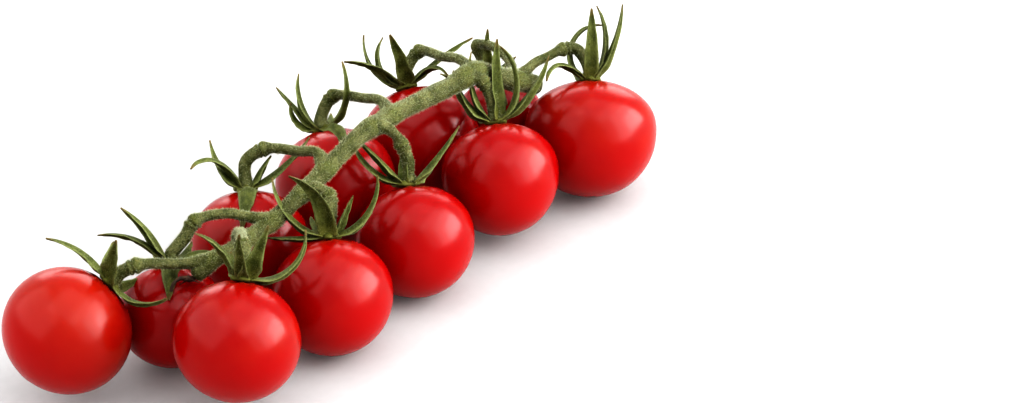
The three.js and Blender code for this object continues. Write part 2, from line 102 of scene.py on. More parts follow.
# One entry for each fruit, from the tip of the truss to its cut end.
# at: the fruit's middle, seen from above. rise: how high its stalk holds it off the surface.
# wide, tall: its width and height against an average fruit. lean: how far its stalk end leans from
# upright, and toward: the way it leans, from +X round to +Y, in degrees.
# leaves: where its stalk leaves the main stem, as a share of the stem's length from the tip.
# over, knuckle, under: the stalk's route, measured from where it meets the calyx.
# sepals: [around, length, width, lift, curl, swing]. around turns from the side that leans lowest,
# width is against an average sepal, lift is the angle at the root, curl is how much that angle grows
# towards the tip, and swing is how far the sepal bends sideways, in degrees.
SPRIGS = [
    dict(at=[-78, 9], rise=4.5, wide=1.03, tall=1.02, lean=54, toward=-8, leaves=0.04,
         over=[[13.5, -5, 1], [8, -4, 3]], knuckle=[5, -2.5, 3], under=[[2, -0.5, 1.5]],
         sepals=[[140, 17.5, 1, 20, -55, 0], [200, 13.5, 1.2, 55, -30, 5], [290, 16, 0.8, -10, 70, -15],
                 [30, 12, 1, 15, 20, 0], [80, 13, 1, 25, 20, 0]]),
    dict(at=[-51.5, -21.5], rise=5, wide=1, tall=1, lean=36, toward=38, leaves=0.13,
         over=[[10.5, 15.5, -0.5], [7.5, 10.5, 2.5]], knuckle=[3.5, 4.5, 4.5], under=[[2, 2, 3.5]],
         sepals=[[120, 16.5, 1, 70, -70, 30], [215, 15, 1.2, 60, -10, 10], [185, 14, 0.8, 40, 5, 0],
                 [285, 20, 1, -5, 105, 0], [110, 7, 0.8, 70, -25, 0], [30, 13, 1, 25, 10, 0]]),
    dict(at=[-50.5, 6], rise=0, wide=0.87, tall=0.88, lean=35, toward=49, leaves=0.2,
         over=[[15, -4.5, 8.5], [11.5, -2, 8.5]], knuckle=[7.5, 0, 7.5], under=[[4.5, 0, 4.5]],
         sepals=[[115, 17.5, 1.2, 70, -40, -5], [100, 18.5, 0.8, 55, -65, 0], [185, 17, 1.2, 0, -75, -5],
                 [275, 10, 0.9, 45, -65, 0], [30, 12, 1, 20, 10, 0], [340, 11, 0.9, 25, 10, 0]]),
    dict(at=[-18.5, -16], rise=0, wide=0.99, tall=1, lean=36, toward=53, leaves=0.29,
         over=[[3.5, 8, 7.5]], knuckle=[4, 4.5, 7], under=[[2, 1.5, 4.5]],
         sepals=[[95, 20, 1, 20, 65, -5], [175, 21, 1.2, 75, -60, -60], [265, 19.5, 1, 15, 75, 0],
                 [245, 11, 0.8, 65, -10, 0], [90, 14, 0.8, 0, 5, 0], [20, 12, 1, 25, 10, 0]]),
    dict(at=[-19, 16], rise=0, wide=1, tall=1, lean=32, toward=55, leaves=0.36,
         over=[[11.5, -15, 11], [10, -10, 10]], knuckle=[6.5, 0.5, 7.5], under=[[2, 2, 5]],
         sepals=[[90, 14.5, 1.2, 45, 35, 0], [115, 21, 0.8, 75, -115, 35], [270, 19.5, 1, 25, 25, 0],
                 [185, 19.5, 1.2, 0, -70, -30], [265, 9.5, 0.9, 65, -20, 0], [15, 12, 1, 20, 10, 0]]),
    dict(at=[14.5, 22.5], rise=0.5, wide=1.06, tall=1.05, lean=38, toward=70, leaves=0.56,
         over=[[5.5, -18, 12.5], [6, -10, 10]], knuckle=[5, 1, 6.5], under=[[2.5, 1.5, 4]],
         sepals=[[60, 16, 1, 60, 0, 0], [95, 16, 1.2, 60, 50, -10], [70, 11, 0.9, 15, 90, 0],
                 [220, 20, 0.8, 15, 75, -35], [195, 19, 1, -10, -35, -40], [330, 12, 1, 20, 10, 0]]),
    dict(at=[13, -10.5], rise=0, wide=1, tall=1, lean=36, toward=59, leaves=0.5,
         over=[[-1.5, 7.5, 13], [0.5, 5.5, 11]], knuckle=[1.5, 4, 8], under=[[1.5, 1.5, 4]],
         sepals=[[95, 18.5, 1, 55, -10, 0], [85, 19, 1, 20, 60, 0], [260, 18.5, 1.1, 40, 10, 0],
                 [140, 9.5, 0.8, 95, 10, 0], [20, 12, 1, 25, 10, 0], [320, 12, 0.9, 20, 10, 0]]),
    dict(at=[46.5, 25.5], rise=0, wide=1.06, tall=1.06, lean=38, toward=72, leaves=0.8,
         over=[[3.5, -18, 13], [4.5, -10.5, 10.5]], knuckle=[5.5, 0.5, 7.5], under=[[2.5, 1.5, 4]],
         sepals=[[170, 16.5, 1.1, 50, 5, -30], [115, 18.5, 1, 55, -45, -30], [75, 19, 0.8, 30, 80, -5],
                 [85, 16.5, 0.9, 35, 100, -5], [245, 21, 0.9, 35, -25, 0], [225, 16.5, 0.8, 45, -100, -40],
                 [340, 12, 1, 20, 10, 0]]),
    dict(at=[46.5, -6], rise=2.5, wide=1.02, tall=1.03, lean=36, toward=56, leaves=0.77,
         over=[[-1, 6, 10]], knuckle=[0.5, 5, 8.5], under=[[1, 3, 5.5]],
         sepals=[[90, 17, 1.2, 35, 50, 0], [100, 19.5, 0.9, 55, 50, -5], [220, 21.5, 1, 95, -20, 0],
                 [250, 21.5, 1.1, 40, 90, 15], [255, 21.5, 1, 30, 35, -10], [20, 12, 1, 20, 10, 0]]),
    dict(at=[80, -5.5], rise=0, wide=1.18, tall=1.1, lean=36, toward=48, leaves=0.93,
         over=[[-13, 8, 5.5], [-9, 7.5, 6]], knuckle=[-3.5, 7, 6.5], under=[[0, 5, 6]],
         sepals=[[185, 19, 1, 65, 15, -5], [245, 20.5, 1, 60, 55, 10], [255, 21.5, 1, 55, 25, -20],
                 [85, 21, 1.1, 35, 150, 5], [110, 19, 0.8, 50, -115, 55], [20, 12, 1, 20, 10, 0]]),
    dict(at=[74.5, 24.5], rise=0, wide=0.82, tall=0.83, lean=39, toward=74, leaves=0.92,
         over=[[-4, -13.5, 11], [-1.5, -4, 11]], knuckle=[0, 3.5, 7.5], under=[[0.5, 2.5, 4]],
         sepals=[[170, 15, 0.9, 60, -20, 15], [165, 20, 1, -5, -60, 5], [125, 15, 0.8, 40, -60, 35],
                 [240, 8.5, 0.9, 30, -15, 0], [60, 12, 1, 20, 10, 0], [330, 12, 1, 20, 10, 0]]),
]

# The withered flower stalk, measured from the main stem's tip.
BUD_ROUTE = [[-0.5, 0, -0.2], [-2.5, 0, 0.8], [-4.5, -0.2, 1.6], [-6.2, -0.4, 1], [-7.2, -0.6, -0.6]]

# How broad each fruit is across its shoulders, against a round one.
BROAD = [0, 0, 0, 0.3, 0.3, 0.5, 0.5, 0.5, 0.8, 1, 0.3]
# How orange each fruit still is, from deep red at 0.
ORANGE = [0.75, 0.3, 0, 0.15, 0.1, 0, 0.05, 0.05, 0.1, 0.4, 0]


def number_of(index):
    """The two digits that end the name of a repeated piece."""
    return f"{index + 1:02d}"


# ---- Placing --------------------------------------------------------------------------------------

def fruit_matrix(sprig):
    """The frame of a fruit and its calyx in the drawn layout: Z along its axis, X down its lean."""
    lean = math.radians(sprig["lean"])
    across = sprig["wide"] * FRUIT_WIDTH / 2 * math.sin(lean)
    along = sprig["tall"] * FRUIT_HEIGHT / 2 * math.cos(lean)
    x, y = sprig["at"]
    place = Vector((x * PLAN, y * PLAN, math.hypot(across, along) + sprig["rise"] * PLAN))
    turn = Matrix.Rotation(math.radians(sprig["toward"]), 4, "Z") @ Matrix.Rotation(lean, 4, "Y")
    return Matrix.Translation(place) @ turn


def middle_of(node):
    """The middle of a CAD node's box, in millimetres."""
    low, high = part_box(node)
    return (low + high) / 2 / MM


# The layout's origin in the frame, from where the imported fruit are.
shifts = [middle_of(f"tomato_{number_of(index)}") - fruit_matrix(sprig).translation
          for index, sprig in enumerate(SPRIGS)]
shift = sum(shifts, Vector()) / len(shifts)
shift.z = 0
FRUIT_FRAMES = [Matrix.Translation(shift) @ fruit_matrix(sprig) for sprig in SPRIGS]

# ---- Camera ---------------------------------------------------------------------------------------

CAMERA_PLACE = (-322.5, -406.1, 337.6)
CAMERA_TURN = -43  # from looking along +Y, in degrees
CAMERA_DIP = 31  # below the horizontal

camera_data = bpy.data.cameras.new("camera")
camera_data.lens = 85
camera_data.sensor_width = 36
camera_data.sensor_fit = "HORIZONTAL"
camera = bpy.data.objects.new("camera", camera_data)
camera.location = (Vector(CAMERA_PLACE) + shift) * MM
camera.rotation_euler = Euler((math.radians(90 - CAMERA_DIP), 0, math.radians(CAMERA_TURN)))
bpy.context.scene.collection.objects.link(camera)
bpy.context.scene.camera = camera

# ---- Curves ---------------------------------------------------------------------------------------

def unit(vectors):
    """The same directions with a length of 1."""
    never_zero = 1e-9
    return vectors / np.maximum(np.linalg.norm(vectors, axis=-1, keepdims=True), never_zero)


def spaced(route, count):
    """So many points, evenly spaced along the centripetal Catmull-Rom curve through the route."""
    steps = 40
    route = np.array([tuple(place) for place in route], float)
    route = np.vstack([2 * route[0] - route[1], route, 2 * route[-1] - route[-2]])
    fine = []
    for index in range(len(route) - 3):
        before, start, end, after = route[index:index + 4]
        d0, d1, d2 = (math.sqrt(max(math.dist(a, b), 1e-6)) for a, b in
                      ((before, start), (start, end), (end, after)))
        leave = ((start - before) / d0 - (end - before) / (d0 + d1) + (end - start) / d1) * d1
        arrive = ((end - start) / d1 - (after - start) / (d1 + d2) + (after - end) / d2) * d1
        t = np.linspace(0, 1, steps, endpoint=False)[:, None]
        cubic = (2 * start - 2 * end + leave + arrive) * t ** 3
        fine.append(cubic + (3 * end - 3 * start - 2 * leave - arrive) * t ** 2 + leave * t + start)
    fine = np.vstack(fine + [route[-2:-1]])
    lengths = np.concatenate([[0], np.cumsum(np.linalg.norm(np.diff(fine, axis=0), axis=1))])
    marks = np.linspace(0, lengths[-1], count)
    return np.column_stack([np.interp(marks, lengths, fine[:, axis]) for axis in range(3)])


def bump(at, middle, half_width):
    """1 in the middle, falling away smoothly on both sides."""
    return np.exp(-((at - middle) / half_width) ** 2)


def smooth_step(at, start, end):
    """0 up to the start and 1 from the end on."""
    t = np.clip((at - start) / (end - start), 0, 1)
    return t * t * (3 - 2 * t)


def ripple(rng, count, waves):
    """A wandering value around 0 along a length, made of a few random waves."""
    at = np.linspace(0, 1, count)
    total = np.zeros(count)
    for wave in range(1, waves + 1):
        total += rng.normal() * np.sin(2 * math.pi * (wave * at + rng.random())) / wave ** 0.6
    return total / 2


# ---- Meshes ---------------------------------------------------------------------------------------

def signed_volume(places, faces):
    """Above 0 where the faces of a closed skin point out."""
    fans = [(face[0], face[i], face[i + 1]) for face in faces for i in range(1, len(face) - 1)]
    a, b, c = (places[np.array(fans)[:, corner]] - places.mean(0) for corner in range(3))
    return float(np.sum(a * np.cross(b, c)))


class Surface:
    """Vertices, faces and painted values, gathered before they become one mesh."""

    def __init__(self):
        self.places = []
        self.faces = []
        self.paint = {"along": [], "edge": [], "hair": []}
        self.count = 0

    def add(self, places, faces, along, edge, hair=0.0):
        """More vertices and faces. along, edge and hair are painted on them, one value or one for each."""
        places = np.asarray(places, float)
        self.places.append(places)
        self.faces += [tuple(int(v) + self.count for v in face) for face in faces]
        for name, value in (("along", along), ("edge", edge), ("hair", hair)):
            self.paint[name].append(np.broadcast_to(np.asarray(value, float), len(places)))
        self.count += len(places)

    def add_rings(self, rings, along, edge):
        """A closed skin over rings of points, each end drawn to its middle."""
        rows, columns = rings.shape[:2]
        places = np.vstack([rings.reshape(-1, 3), rings[0].mean(0), rings[-1].mean(0)])
        faces = []
        for row in range(rows - 1):
            for column in range(columns):
                beside = (column + 1) % columns
                faces.append((row * columns + column, row * columns + beside,
                              (row + 1) * columns + beside, (row + 1) * columns + column))
        first, last = rows * columns, rows * columns + 1
        for column in range(columns):
            beside = (column + 1) % columns
            faces.append((first, beside, column))
            faces.append((last, (rows - 1) * columns + column, (rows - 1) * columns + beside))
        if signed_volume(places, faces) < 0:
            faces = [face[::-1] for face in faces]
        along = np.broadcast_to(np.asarray(along, float)[:, None], (rows, columns))
        edge = np.broadcast_to(np.asarray(edge, float), (rows, columns))
        self.add(places, faces, np.append(along.ravel(), (along[0, 0], along[-1, 0])),
                 np.append(edge.ravel(), (edge[0].mean(), edge[-1].mean())))

    def add_hairs(self, rings, rng, density, length, thick):
        """Fine hairs, so many to a square millimetre, standing on a skin of rings."""
        sunk = 0.06
        unruly = 0.35
        shortest, longest = 0.5, 1.2
        thirds_of_a_turn = (0, 2.094, 4.189)
        here = rings[:-1]
        beside = np.roll(here, -1, axis=1)
        above = rings[1:]
        normals = np.cross(beside - here, above - here)
        areas = np.linalg.norm(normals, axis=2).ravel()
        count = int(areas.sum() * density)
        chosen = rng.choice(areas.size, count, p=areas / areas.sum())
        u, v = rng.random((2, count, 1))
        start = here.reshape(-1, 3)[chosen]
        across = beside.reshape(-1, 3)[chosen] - start
        upward = above.reshape(-1, 3)[chosen] - start
        start = start + u * across + v * upward
        outward = unit(normals.reshape(-1, 3)[chosen])
        middles = rings.mean(1)[:-1].repeat(rings.shape[1], 0)[chosen]
        if np.sum(outward * (start - middles)) < 0:
            outward = -outward
        lean = unit(outward + rng.normal(0, unruly, (count, 3)))
        side = unit(np.cross(lean, rng.normal(size=(count, 3))))
        other = np.cross(lean, side)
        root = start - outward * sunk
        corners = [root + thick * (math.cos(turn) * side + math.sin(turn) * other)
                   for turn in thirds_of_a_turn]
        tip = start + lean * (length * rng.uniform(shortest, longest, (count, 1)))
        places = np.stack(corners + [tip], axis=1).reshape(-1, 3)
        base = np.arange(count)[:, None] * 4
        faces = np.vstack([base + face for face in ([0, 1, 3], [1, 2, 3], [2, 0, 3], [0, 2, 1])])
        self.add(places, faces, along=0.3, edge=0.5, hair=1.0)

    def build(self, name, material, matrix=Matrix.Identity(4)):
        """One object, its mesh in metres and in the frame. matrix places what was drawn around a fruit."""
        mesh = bpy.data.meshes.new(name)
        matrix = np.array(matrix)
        places = np.vstack(self.places) @ matrix[:3, :3].T + matrix[:3, 3]
        mesh.from_pydata((places * MM).tolist(), [], self.faces)
        mesh.validate()
        for key, values in self.paint.items():
            layer = mesh.attributes.new(key, "FLOAT", "POINT")
            layer.data.foreach_set("value", np.concatenate(values).astype(np.float32))
        mesh.polygons.foreach_set("use_smooth", [True] * len(mesh.polygons))
        mesh.materials.append(material)
        piece = bpy.data.objects.new(name, mesh)
        bpy.context.scene.collection.objects.link(piece)
        return piece


def transported(middles):
    """Two side vectors for each point of a line, turning as little as they can."""
    not_along = (0.3, 0.2, 1.0)
    tangents = unit(np.gradient(middles, axis=0))
    side = np.cross(tangents[0], not_along)
    sides = []
    for tangent in tangents:
        side = side - tangent * np.dot(side, tangent)
        side = side / np.linalg.norm(side)
        sides.append(side)
    sides = np.array(sides)
    return sides, np.cross(tangents, sides)


def tube_rings(middles, radii, columns, rng, rough=0.03, ribs=0.02):
    """Rings of a stem with faint ribs and an uneven skin, as shares of its radius."""
    rib_count = 5
    coarse_waves = 3
    fine_waves = 9
    sides, others = transported(middles)
    rows = len(middles)
    turn = np.linspace(0, 2 * math.pi, columns, endpoint=False)
    ribbed = 1 + ribs * np.cos(rib_count * turn + rng.random() * 6)[None, :]
    uneven = np.ones((rows, columns))
    for wave in range(1, coarse_waves + 1):
        sway = ripple(rng, rows, fine_waves)[:, None]
        uneven += rough * sway * np.cos(wave * turn + rng.random() * 6)[None, :] / wave
    radius = np.asarray(radii)[:, None] * ribbed * uneven
    spokes = np.cos(turn)[None, :, None] * sides[:, None] + np.sin(turn)[None, :, None] * others[:, None]
    return middles[:, None] + radius[:, :, None] * spokes


def finish_piece(piece, node):
    """The piece takes its CAD node's place on the one body."""
    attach(piece, "root")
    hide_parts(node)


# ---- Materials ------------------------------------------------------------------------------------

class Recipe:
    """A node material being put together."""

    def __init__(self, name):
        self.material = bpy.data.materials.new(name)
        self.material.use_nodes = True
        self.nodes = self.material.node_tree.nodes
        self.links = self.material.node_tree.links
        self.shader = self.nodes["Principled BSDF"]
        self.coordinates = self.nodes.new("ShaderNodeTexCoord").outputs["Object"]

    def feed(self, socket, value):
        """A socket set to a plain value, or linked to another node's output."""
        if isinstance(value, bpy.types.NodeSocket):
            self.links.new(value, socket)
        else:
            socket.default_value = value

    def noise(self, size, detail=3):
        """Noise whose blotches are about so many millimetres across."""
        node = self.nodes.new("ShaderNodeTexNoise")
        node.inputs["Scale"].default_value = 1 / (size * MM)
        node.inputs["Detail"].default_value = detail
        self.links.new(self.coordinates, node.inputs["Vector"])
        return node.outputs["Fac"]

    def cells(self, size):
        """The distance from the middle of the nearest of many cells, about so many millimetres across."""
        node = self.nodes.new("ShaderNodeTexVoronoi")
        node.inputs["Scale"].default_value = 1 / (size * MM)
        self.links.new(self.coordinates, node.inputs["Vector"])
        return node.outputs["Distance"]

    def painted(self, name):
        """A value painted on the mesh."""
        node = self.nodes.new("ShaderNodeAttribute")
        node.attribute_name = name
        return node.outputs["Fac"]

    def spread(self, value, low, high, start=0.0, end=1.0):
        """value from low to high becomes start to end, and stays between them."""
        node = self.nodes.new("ShaderNodeMapRange")
        node.interpolation_type = "SMOOTHSTEP"
        self.feed(node.inputs["Value"], value)
        limits = {"From Min": low, "From Max": high, "To Min": start, "To Max": end}
        for socket, limit in limits.items():
            node.inputs[socket].default_value = limit
        return node.outputs["Result"]

    def total(self, first, second):
        """The sum of two values."""
        node = self.nodes.new("ShaderNodeMath")
        node.operation = "ADD"
        self.feed(node.inputs[0], first)
        self.feed(node.inputs[1], second)
        return node.outputs[0]

    def mix(self, amount, first, second):
        """One colour with so much of a second over it."""
        node = self.nodes.new("ShaderNodeMix")
        node.data_type = "RGBA"
        self.feed(node.inputs["Factor"], amount)
        for socket, value in ((node.inputs[6], first), (node.inputs[7], second)):
            self.feed(socket, value if isinstance(value, bpy.types.NodeSocket) else (*value, 1))
        return node.outputs[2]

    def bump(self, height, depth):
        """A bump so many millimetres deep."""
        node = self.nodes.new("ShaderNodeBump")
        node.inputs["Distance"].default_value = depth * MM
        self.links.new(height, node.inputs["Height"])
        self.links.new(node.outputs["Normal"], self.shader.inputs["Normal"])

    def set(self, **values):
        """Feeds sockets of the shader, by name with underscores for spaces."""
        for name, value in values.items():
            self.feed(self.shader.inputs[name.replace("_", " ")], value)


def fruit_skin():
    """Painted along is 0 at the blossom scar and 1 at the calyx, and edge is how orange the fruit is."""
    ripe_red = (0.22, 0.0002, 0.0008)
    orange_red = (0.25, 0.012, 0.003)
    # Painted bounce light: a brighter red for the lower half, standing in for light thrown up from below.
    bounce_lit_red = (0.33, 0.0005, 0.0008)
    shoulder_red = (0.17, 0.001, 0.001)
    speck_orange = (0.32, 0.04, 0.01)
    scar_brown = (0.08, 0.03, 0.01)
    skin = Recipe("fruit_skin")
    blotches = skin.noise(9, detail=2)
    ripeness = skin.total(skin.painted("edge"), skin.spread(blotches, 0.35, 0.75, -0.1, 0.3))
    red = skin.mix(skin.spread(ripeness, 0, 1), ripe_red, orange_red)
    # The lower half, below the middle, is painted a brighter red as painted bounce light from below.
    painted_bounce_light = skin.spread(skin.painted("along"), 0.2, 0.62, 0.9, 0)
    red = skin.mix(painted_bounce_light, red, bounce_lit_red)
    shoulder = skin.spread(skin.painted("along"), 0.72, 0.92, 0, 0.45)
    red = skin.mix(shoulder, red, shoulder_red)
    specks = skin.spread(skin.cells(0.55), 0.0, 0.22, 0.16, 0)
    red = skin.mix(specks, red, speck_orange)
    scar = skin.spread(skin.painted("along"), 0.0, 0.035, 1, 0)
    red = skin.mix(scar, red, scar_brown)
    skin.set(Base_Color=red, Roughness=skin.spread(skin.noise(1.2, detail=4), 0.3, 0.7, 0.21, 0.26))
    skin.set(IOR=1.36, Specular_IOR_Level=0.5, Subsurface_Weight=0.6, Subsurface_Scale=0.004)
    skin.shader.inputs["Subsurface Radius"].default_value = (1, 0.15, 0.08)
    skin.bump(skin.noise(1.6, detail=2), 0.003)
    return skin.material


def stem_skin():
    """Painted edge is how fresh a green the nodes and the knuckles are."""
    plain_green = (0.06, 0.066, 0.02)
    pale_green = (0.13, 0.134, 0.06)
    fresh_green = (0.095, 0.105, 0.03)
    speckle_green = (0.014, 0.018, 0.004)
    hair_green = (0.42, 0.44, 0.3)
    stem = Recipe("stem")
    patches = stem.noise(3.5, detail=3)
    colour = stem.mix(stem.spread(patches, 0.35, 0.65), plain_green, pale_green)
    nodes = stem.spread(stem.painted("edge"), 0.1, 1, 0, 0.75)
    colour = stem.mix(nodes, colour, fresh_green)
    speckle = stem.spread(stem.noise(0.36, detail=2), 0.5, 0.62, 0, 0.65)
    colour = stem.mix(speckle, colour, speckle_green)
    colour = stem.mix(stem.painted("hair"), colour, hair_green)
    stem.set(Base_Color=colour, Roughness=stem.spread(patches, 0.3, 0.7, 0.5, 0.68))
    stem.set(Specular_IOR_Level=0.15, Subsurface_Weight=0.05, Subsurface_Scale=0.0008)
    stem.set(Sheen_Weight=0.22, Sheen_Roughness=0.3)
    stem.shader.inputs["Sheen Tint"].default_value = (0.85, 0.9, 0.7, 1)
    stem.bump(stem.noise(0.45, detail=3), 0.16)
    return stem.material


def sepal_skin():
    """Painted along is 0 at the root and 1 at the tip, and edge is 1 at the margins."""
    plain_green = (0.05, 0.06, 0.014)
    pale_green = (0.095, 0.108, 0.032)
    rim_green = (0.18, 0.2, 0.085)
    root_green = (0.12, 0.12, 0.03)
    tip_brown = (0.12, 0.08, 0.03)
    speckle_green = (0.018, 0.026, 0.006)
    hair_green = (0.3, 0.32, 0.2)
    sepal = Recipe("sepal")
    patches = sepal.noise(2.5, detail=3)
    colour = sepal.mix(sepal.spread(patches, 0.35, 0.65), plain_green, pale_green)
    rim = sepal.spread(sepal.painted("edge"), 0.55, 1, 0, 0.75)
    colour = sepal.mix(rim, colour, rim_green)
    root = sepal.spread(sepal.painted("along"), 0.0, 0.22, 0.7, 0)
    colour = sepal.mix(root, colour, root_green)
    tip = sepal.spread(sepal.painted("along"), 0.84, 1.0, 0, 0.85)
    colour = sepal.mix(tip, colour, tip_brown)
    speckle = sepal.spread(sepal.noise(0.4, detail=2), 0.54, 0.66, 0, 0.65)
    colour = sepal.mix(speckle, colour, speckle_green)
    colour = sepal.mix(sepal.painted("hair"), colour, hair_green)
    sepal.set(Base_Color=colour, Roughness=sepal.spread(patches, 0.3, 0.7, 0.5, 0.66))
    sepal.set(Specular_IOR_Level=0.15, Sheen_Weight=0.12, Sheen_Roughness=0.3)
    sepal.shader.inputs["Sheen Tint"].default_value = (0.8, 0.9, 0.6, 1)
    sepal.bump(sepal.noise(0.45, detail=3), 0.1)
    return sepal.material


def dried_skin():
    """Brown and wrinkled all over."""
    dark_brown = (0.018, 0.008, 0.005)
    pale_brown = (0.06, 0.032, 0.016)
    hair_brown = (0.2, 0.16, 0.1)
    dried = Recipe("dried_stalk")
    patches = dried.noise(1.2, detail=4)
    colour = dried.mix(dried.spread(patches, 0.3, 0.7), dark_brown, pale_brown)
    colour = dried.mix(dried.painted("hair"), colour, hair_brown)
    dried.set(Base_Color=colour, Roughness=dried.spread(patches, 0.3, 0.7, 0.75, 0.9))
    dried.bump(dried.noise(0.4, detail=4), 0.2)
    return dried.material


FRUIT_SKIN = fruit_skin()
STEM_SKIN = stem_skin()
SEPAL_SKIN = sepal_skin()
DRIED_SKIN = dried_skin()

# ---- The fruit ------------------------------------------------------------------------------------

def shoulder_height(sprig, outward):
    """The fruit's upper skin above its middle, so far out from its axis."""
    half_width = sprig["wide"] * FRUIT_WIDTH / 2
    dome = np.sqrt(np.maximum(0, 1 - (outward / half_width) ** 2))
    dimple = DIMPLE_DEPTH * np.exp(-(outward / (DIMPLE_WIDTH / 2)) ** 2)
    return sprig["tall"] * FRUIT_HEIGHT / 2 * dome - dimple


def seat_height(sprig):
    """The underside of the calyx, above the fruit's middle."""
    return max(float(shoulder_height(sprig, CALYX_WIDTH / 2)), float(shoulder_height(sprig, 0))) + GAP


def tomato(index, sprig):
    """A fruit, in rings that climb from its blossom scar to its calyx."""
    rng = np.random.default_rng(FRUIT_SEED + index)
    rows, columns = 72, 96
    broader = 0.07
    narrower = 0.03
    lobe_depth = 0.007
    unroundness = 0.007
    pit_depth = 0.2
    pit_rim = 0.08
    pucker_sink = 0.1
    squeezes = 4
    half_width = sprig["wide"] * FRUIT_WIDTH / 2
    half_height = sprig["tall"] * FRUIT_HEIGHT / 2
    # The climb is the angle at the fruit's middle, from 0 at the scar to pi at the calyx.
    climb = np.linspace(0, math.pi, rows + 2)[1:-1, None]
    turn = np.linspace(0, 2 * math.pi, columns, endpoint=False)[None, :]
    outward = half_width * np.sin(climb)
    height = np.where(climb < math.pi / 2, -half_height * np.cos(climb), shoulder_height(sprig, outward))
    # A broad fruit is wider over its shoulders and narrower below.
    shoulders = smooth_step(climb, 1.45, 2.2) * (1 - smooth_step(climb, 2.4, 3.0))
    outward = outward * (1 + BROAD[index] * (broader * shoulders - narrower * bump(climb, 0.9, 0.5)))
    # Faint lobes over the shoulders, and a skin that is nowhere quite round.
    lobes = 1 + lobe_depth * np.cos(5 * turn + rng.random() * 6) * smooth_step(climb, 1.6, 2.7)
    rings = np.stack([outward * np.cos(turn) * lobes, outward * np.sin(turn) * lobes,
                      height + 0 * turn], axis=2)
    facing = unit(rings)
    for _ in range(squeezes):
        way = unit(rng.normal(size=3))
        rings = rings * (1 + unroundness * rng.normal() * ((facing @ way) ** 2 - 0.33))[:, :, None]
    # The little blossom scar is a pit with a raised rim.
    away = outward / half_width
    scar = pit_depth * bump(away, 0, 0.035) - pit_rim * bump(away, 0.09, 0.04)
    rings[:, :, 2] += scar * (climb < 1)
    # The shoulders are puckered around the calyx.
    pucker = 0.16 * np.cos(7 * turn + rng.random() * 6) + 0.12 * np.cos(4 * turn + rng.random() * 6)
    rings[:, :, 2] += (pucker - pucker_sink) * bump(outward, 3.6, 2) * (climb > 2)
    surface = Surface()
    surface.add_rings(rings, climb[:, 0] / math.pi, ORANGE[index])
    piece = surface.build(f"fruit_{number_of(index)}", FRUIT_SKIN, FRUIT_FRAMES[index])
    finish_piece(piece, f"tomato_{number_of(index)}")


# ---- The stems ------------------------------------------------------------------------------------

RACHIS_ROWS = 420
RACHIS_MIDDLES = spaced([Vector(place) * PLAN + shift for place in RACHIS_ROUTE], RACHIS_ROWS)


def rounded(radii, middles):
    """Radii drawn in over their own length at both ends."""
    end_length = 0.6
    blunt = 0.02
    length = np.concatenate([[0], np.cumsum(np.linalg.norm(np.diff(middles, axis=0), axis=1))])
    for run in (length, length[-1] - length):
        nearness = np.clip(run / (end_length * radii), 0, 1)
        radii = radii * np.sqrt(np.maximum(blunt, 1 - (1 - nearness) ** 2))
    return radii


def rachis():
    """The main stem, swollen where the stalks leave it."""
    rng = np.random.default_rng(STEM_SEED)
    columns = 32
    node_half_length = 0.022
    node_freshness = 0.8
    unevenness, uneven_waves = 0.03, 14
    at = np.linspace(0, 1, len(RACHIS_MIDDLES))
    swelling = np.max([bump(at, sprig["leaves"], node_half_length) for sprig in SPRIGS], axis=0)
    plain = RACHIS_TIP_WIDTH + (RACHIS_WIDTH - RACHIS_TIP_WIDTH) * at
    uneven = 1 + unevenness * ripple(rng, len(at), uneven_waves)
    radii = rounded(plain / 2 * (1 + NODE_SWELLING * swelling) * uneven, RACHIS_MIDDLES)
    rings = tube_rings(RACHIS_MIDDLES, radii, columns, rng, rough=0.05, ribs=0.03)
    surface = Surface()
    surface.add_rings(rings, at, (swelling * node_freshness)[:, None])
    surface.add_hairs(rings, rng, density=5, length=0.65, thick=0.045)
    piece = surface.build("main_stem", STEM_SKIN)
    finish_piece(piece, "rachis")


